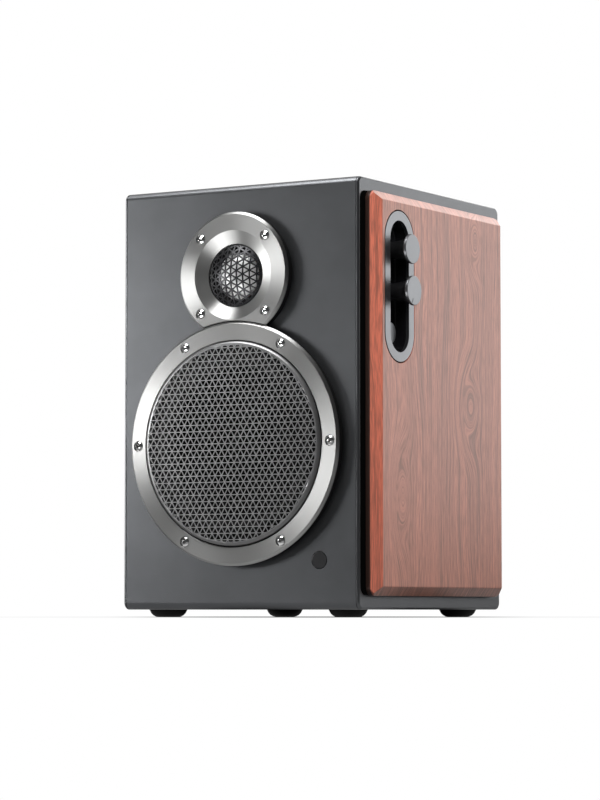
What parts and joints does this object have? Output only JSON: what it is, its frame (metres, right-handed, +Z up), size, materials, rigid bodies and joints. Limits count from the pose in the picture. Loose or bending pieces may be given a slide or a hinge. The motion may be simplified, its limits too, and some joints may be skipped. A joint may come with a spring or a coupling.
{
  "type": "desktop speaker",
  "caption": "Powered two-way desktop speaker with a grey wrapped cabinet, walnut side cheeks, round steel driver trims and a side control slot with knobs and a push button.",
  "frame": {"origin": "middle of the whole speaker's box, on the surface that the feet stand on", "axes": "+Z up; -Y the way the drivers face; +X the side with the control slot"},
  "size_m": [0.1738, 0.1808, 0.2351],
  "materials": {
    "anthracite_shell": "satin, finely textured",
    "walnut": "satin lacquer",
    "turned_steel": "circular brushed",
    "satin_silver": "satin",
    "grille_sheet": "perforated sheet, satin",
    "black_plastic": "matte moulded",
    "gloss_black": "gloss moulded",
    "black_steel": "black powder coat",
    "rubber": "matte",
    "cone_paper": "pressed, matte",
    "spider_cloth": "resin-dipped weave",
    "dome_metal": "bright",
    "zinc_plate": "zinc plated",
    "ferrite": "sintered, matte",
    "copper_wire": "enamelled winding",
    "circuit_board": "solder mask",
    "red_plastic": "moulded",
    "white_plastic": "moulded",
    "smoked_window": "polished"
  },
  "bodies": {
    "cabinet": {"cabinet_sleeve": "anthracite_shell", "side_plate_right": "anthracite_shell", "side_plate_left": "anthracite_shell", "wood_panel_right": "walnut", "wood_panel_left": "walnut", "foot_front_right": "rubber", "foot_front_left": "rubber", "foot_rear_right": "rubber", "foot_rear_left": "rubber", "ir_window": "smoked_window", "driver_base": "black_plastic", "woofer_trim_ring": "turned_steel", "woofer_grille": "grille_sheet", "woofer_basket": "black_steel", "woofer_surround": "rubber", "woofer_spider": "spider_cloth", "woofer_top_plate": "zinc_plate", "woofer_magnet": "ferrite", "woofer_yoke": "zinc_plate", "tweeter_face_plate": "turned_steel", "tweeter_grille": "black_steel", "tweeter_chassis": "black_plastic", "tweeter_surround": "rubber", "tweeter_motor": "ferrite", "woofer_screw_1": "zinc_plate", "woofer_screw_2": "zinc_plate", "woofer_screw_3": "zinc_plate", "woofer_screw_4": "zinc_plate", "woofer_screw_5": "zinc_plate", "woofer_screw_6": "zinc_plate", "tweeter_screw_1": "zinc_plate", "tweeter_screw_2": "zinc_plate", "tweeter_screw_3": "zinc_plate", "tweeter_screw_4": "zinc_plate", "control_bezel": "satin_silver", "control_tray": "gloss_black", "encoder_volume": "zinc_plate", "encoder_tone": "zinc_plate", "button_switch": "black_plastic", "control_board": "circuit_board", "rear_panel": "black_steel", "port_tube": "black_plastic", "input_socket_red": "red_plastic", "input_socket_white": "white_plastic", "terminal_block": "black_plastic", "mains_inlet": "black_plastic", "amp_board": "circuit_board", "heat_sink": "satin_silver", "transformer": "ferrite"},
    "volume_knob": {"knob_volume": "satin_silver"},
    "tone_knob": {"knob_tone": "satin_silver"},
    "select_button": {"select_button": "satin_silver"},
    "woofer_diaphragm": {"woofer_cone": "cone_paper", "woofer_dust_cap": "cone_paper", "woofer_voice_coil": "copper_wire"},
    "tweeter_diaphragm": {"tweeter_dome": "dome_metal", "tweeter_voice_coil": "copper_wire"},
    "power_rocker": {"power_rocker": "gloss_black"},
    "lever_red": {"terminal_lever_red": "red_plastic"},
    "lever_black": {"terminal_lever_black": "black_plastic"}
  },
  "joints": [
    {"name": "volume_turn", "type": "hinge", "parent": "cabinet", "child": "volume_knob", "pos_m": [0.06965, -0.05105, 0.1976], "axis": [1, 0, 0], "range_deg": [-150, 150]},
    {"name": "tone_turn", "type": "hinge", "parent": "cabinet", "child": "tone_knob", "pos_m": [0.06965, -0.05105, 0.1751], "axis": [1, 0, 0], "range_deg": [-150, 150]},
    {"name": "select_press", "type": "slide", "parent": "cabinet", "child": "select_button", "axis": [-1, 0, 0], "range_m": [0, 0.0012], "stiffness_N_per_m": 500, "springref_m": -0.001},
    {"name": "woofer_travel", "type": "slide", "parent": "cabinet", "child": "woofer_diaphragm", "axis": [0, -1, 0], "range_m": [-0.003, 0.003], "stiffness_N_per_m": 1500, "deforming": ["woofer_surround", "woofer_spider"]},
    {"name": "tweeter_travel", "type": "slide", "parent": "cabinet", "child": "tweeter_diaphragm", "axis": [0, -1, 0], "range_m": [-0.0003, 0.0003], "stiffness_N_per_m": 400, "deforming": ["tweeter_surround"]},
    {"name": "power_switch", "type": "hinge", "parent": "cabinet", "child": "power_rocker", "pos_m": [0.00865, 0.08125, 0.0521], "axis": [-1, 0, 0], "range_deg": [0, 16]},
    {"name": "lever_red_press", "type": "hinge", "parent": "cabinet", "child": "lever_red", "pos_m": [0.00865, 0.08565, 0.1301], "axis": [-1, 0, 0], "range_deg": [0, 20], "stiffness_Nm_per_rad": 0.03, "springref_deg": -20.05},
    {"name": "lever_black_press", "type": "hinge", "parent": "cabinet", "child": "lever_black", "pos_m": [0.02465, 0.08565, 0.1301], "axis": [-1, 0, 0], "range_deg": [0, 20], "stiffness_Nm_per_rad": 0.03, "springref_deg": -20.05}
  ]
}
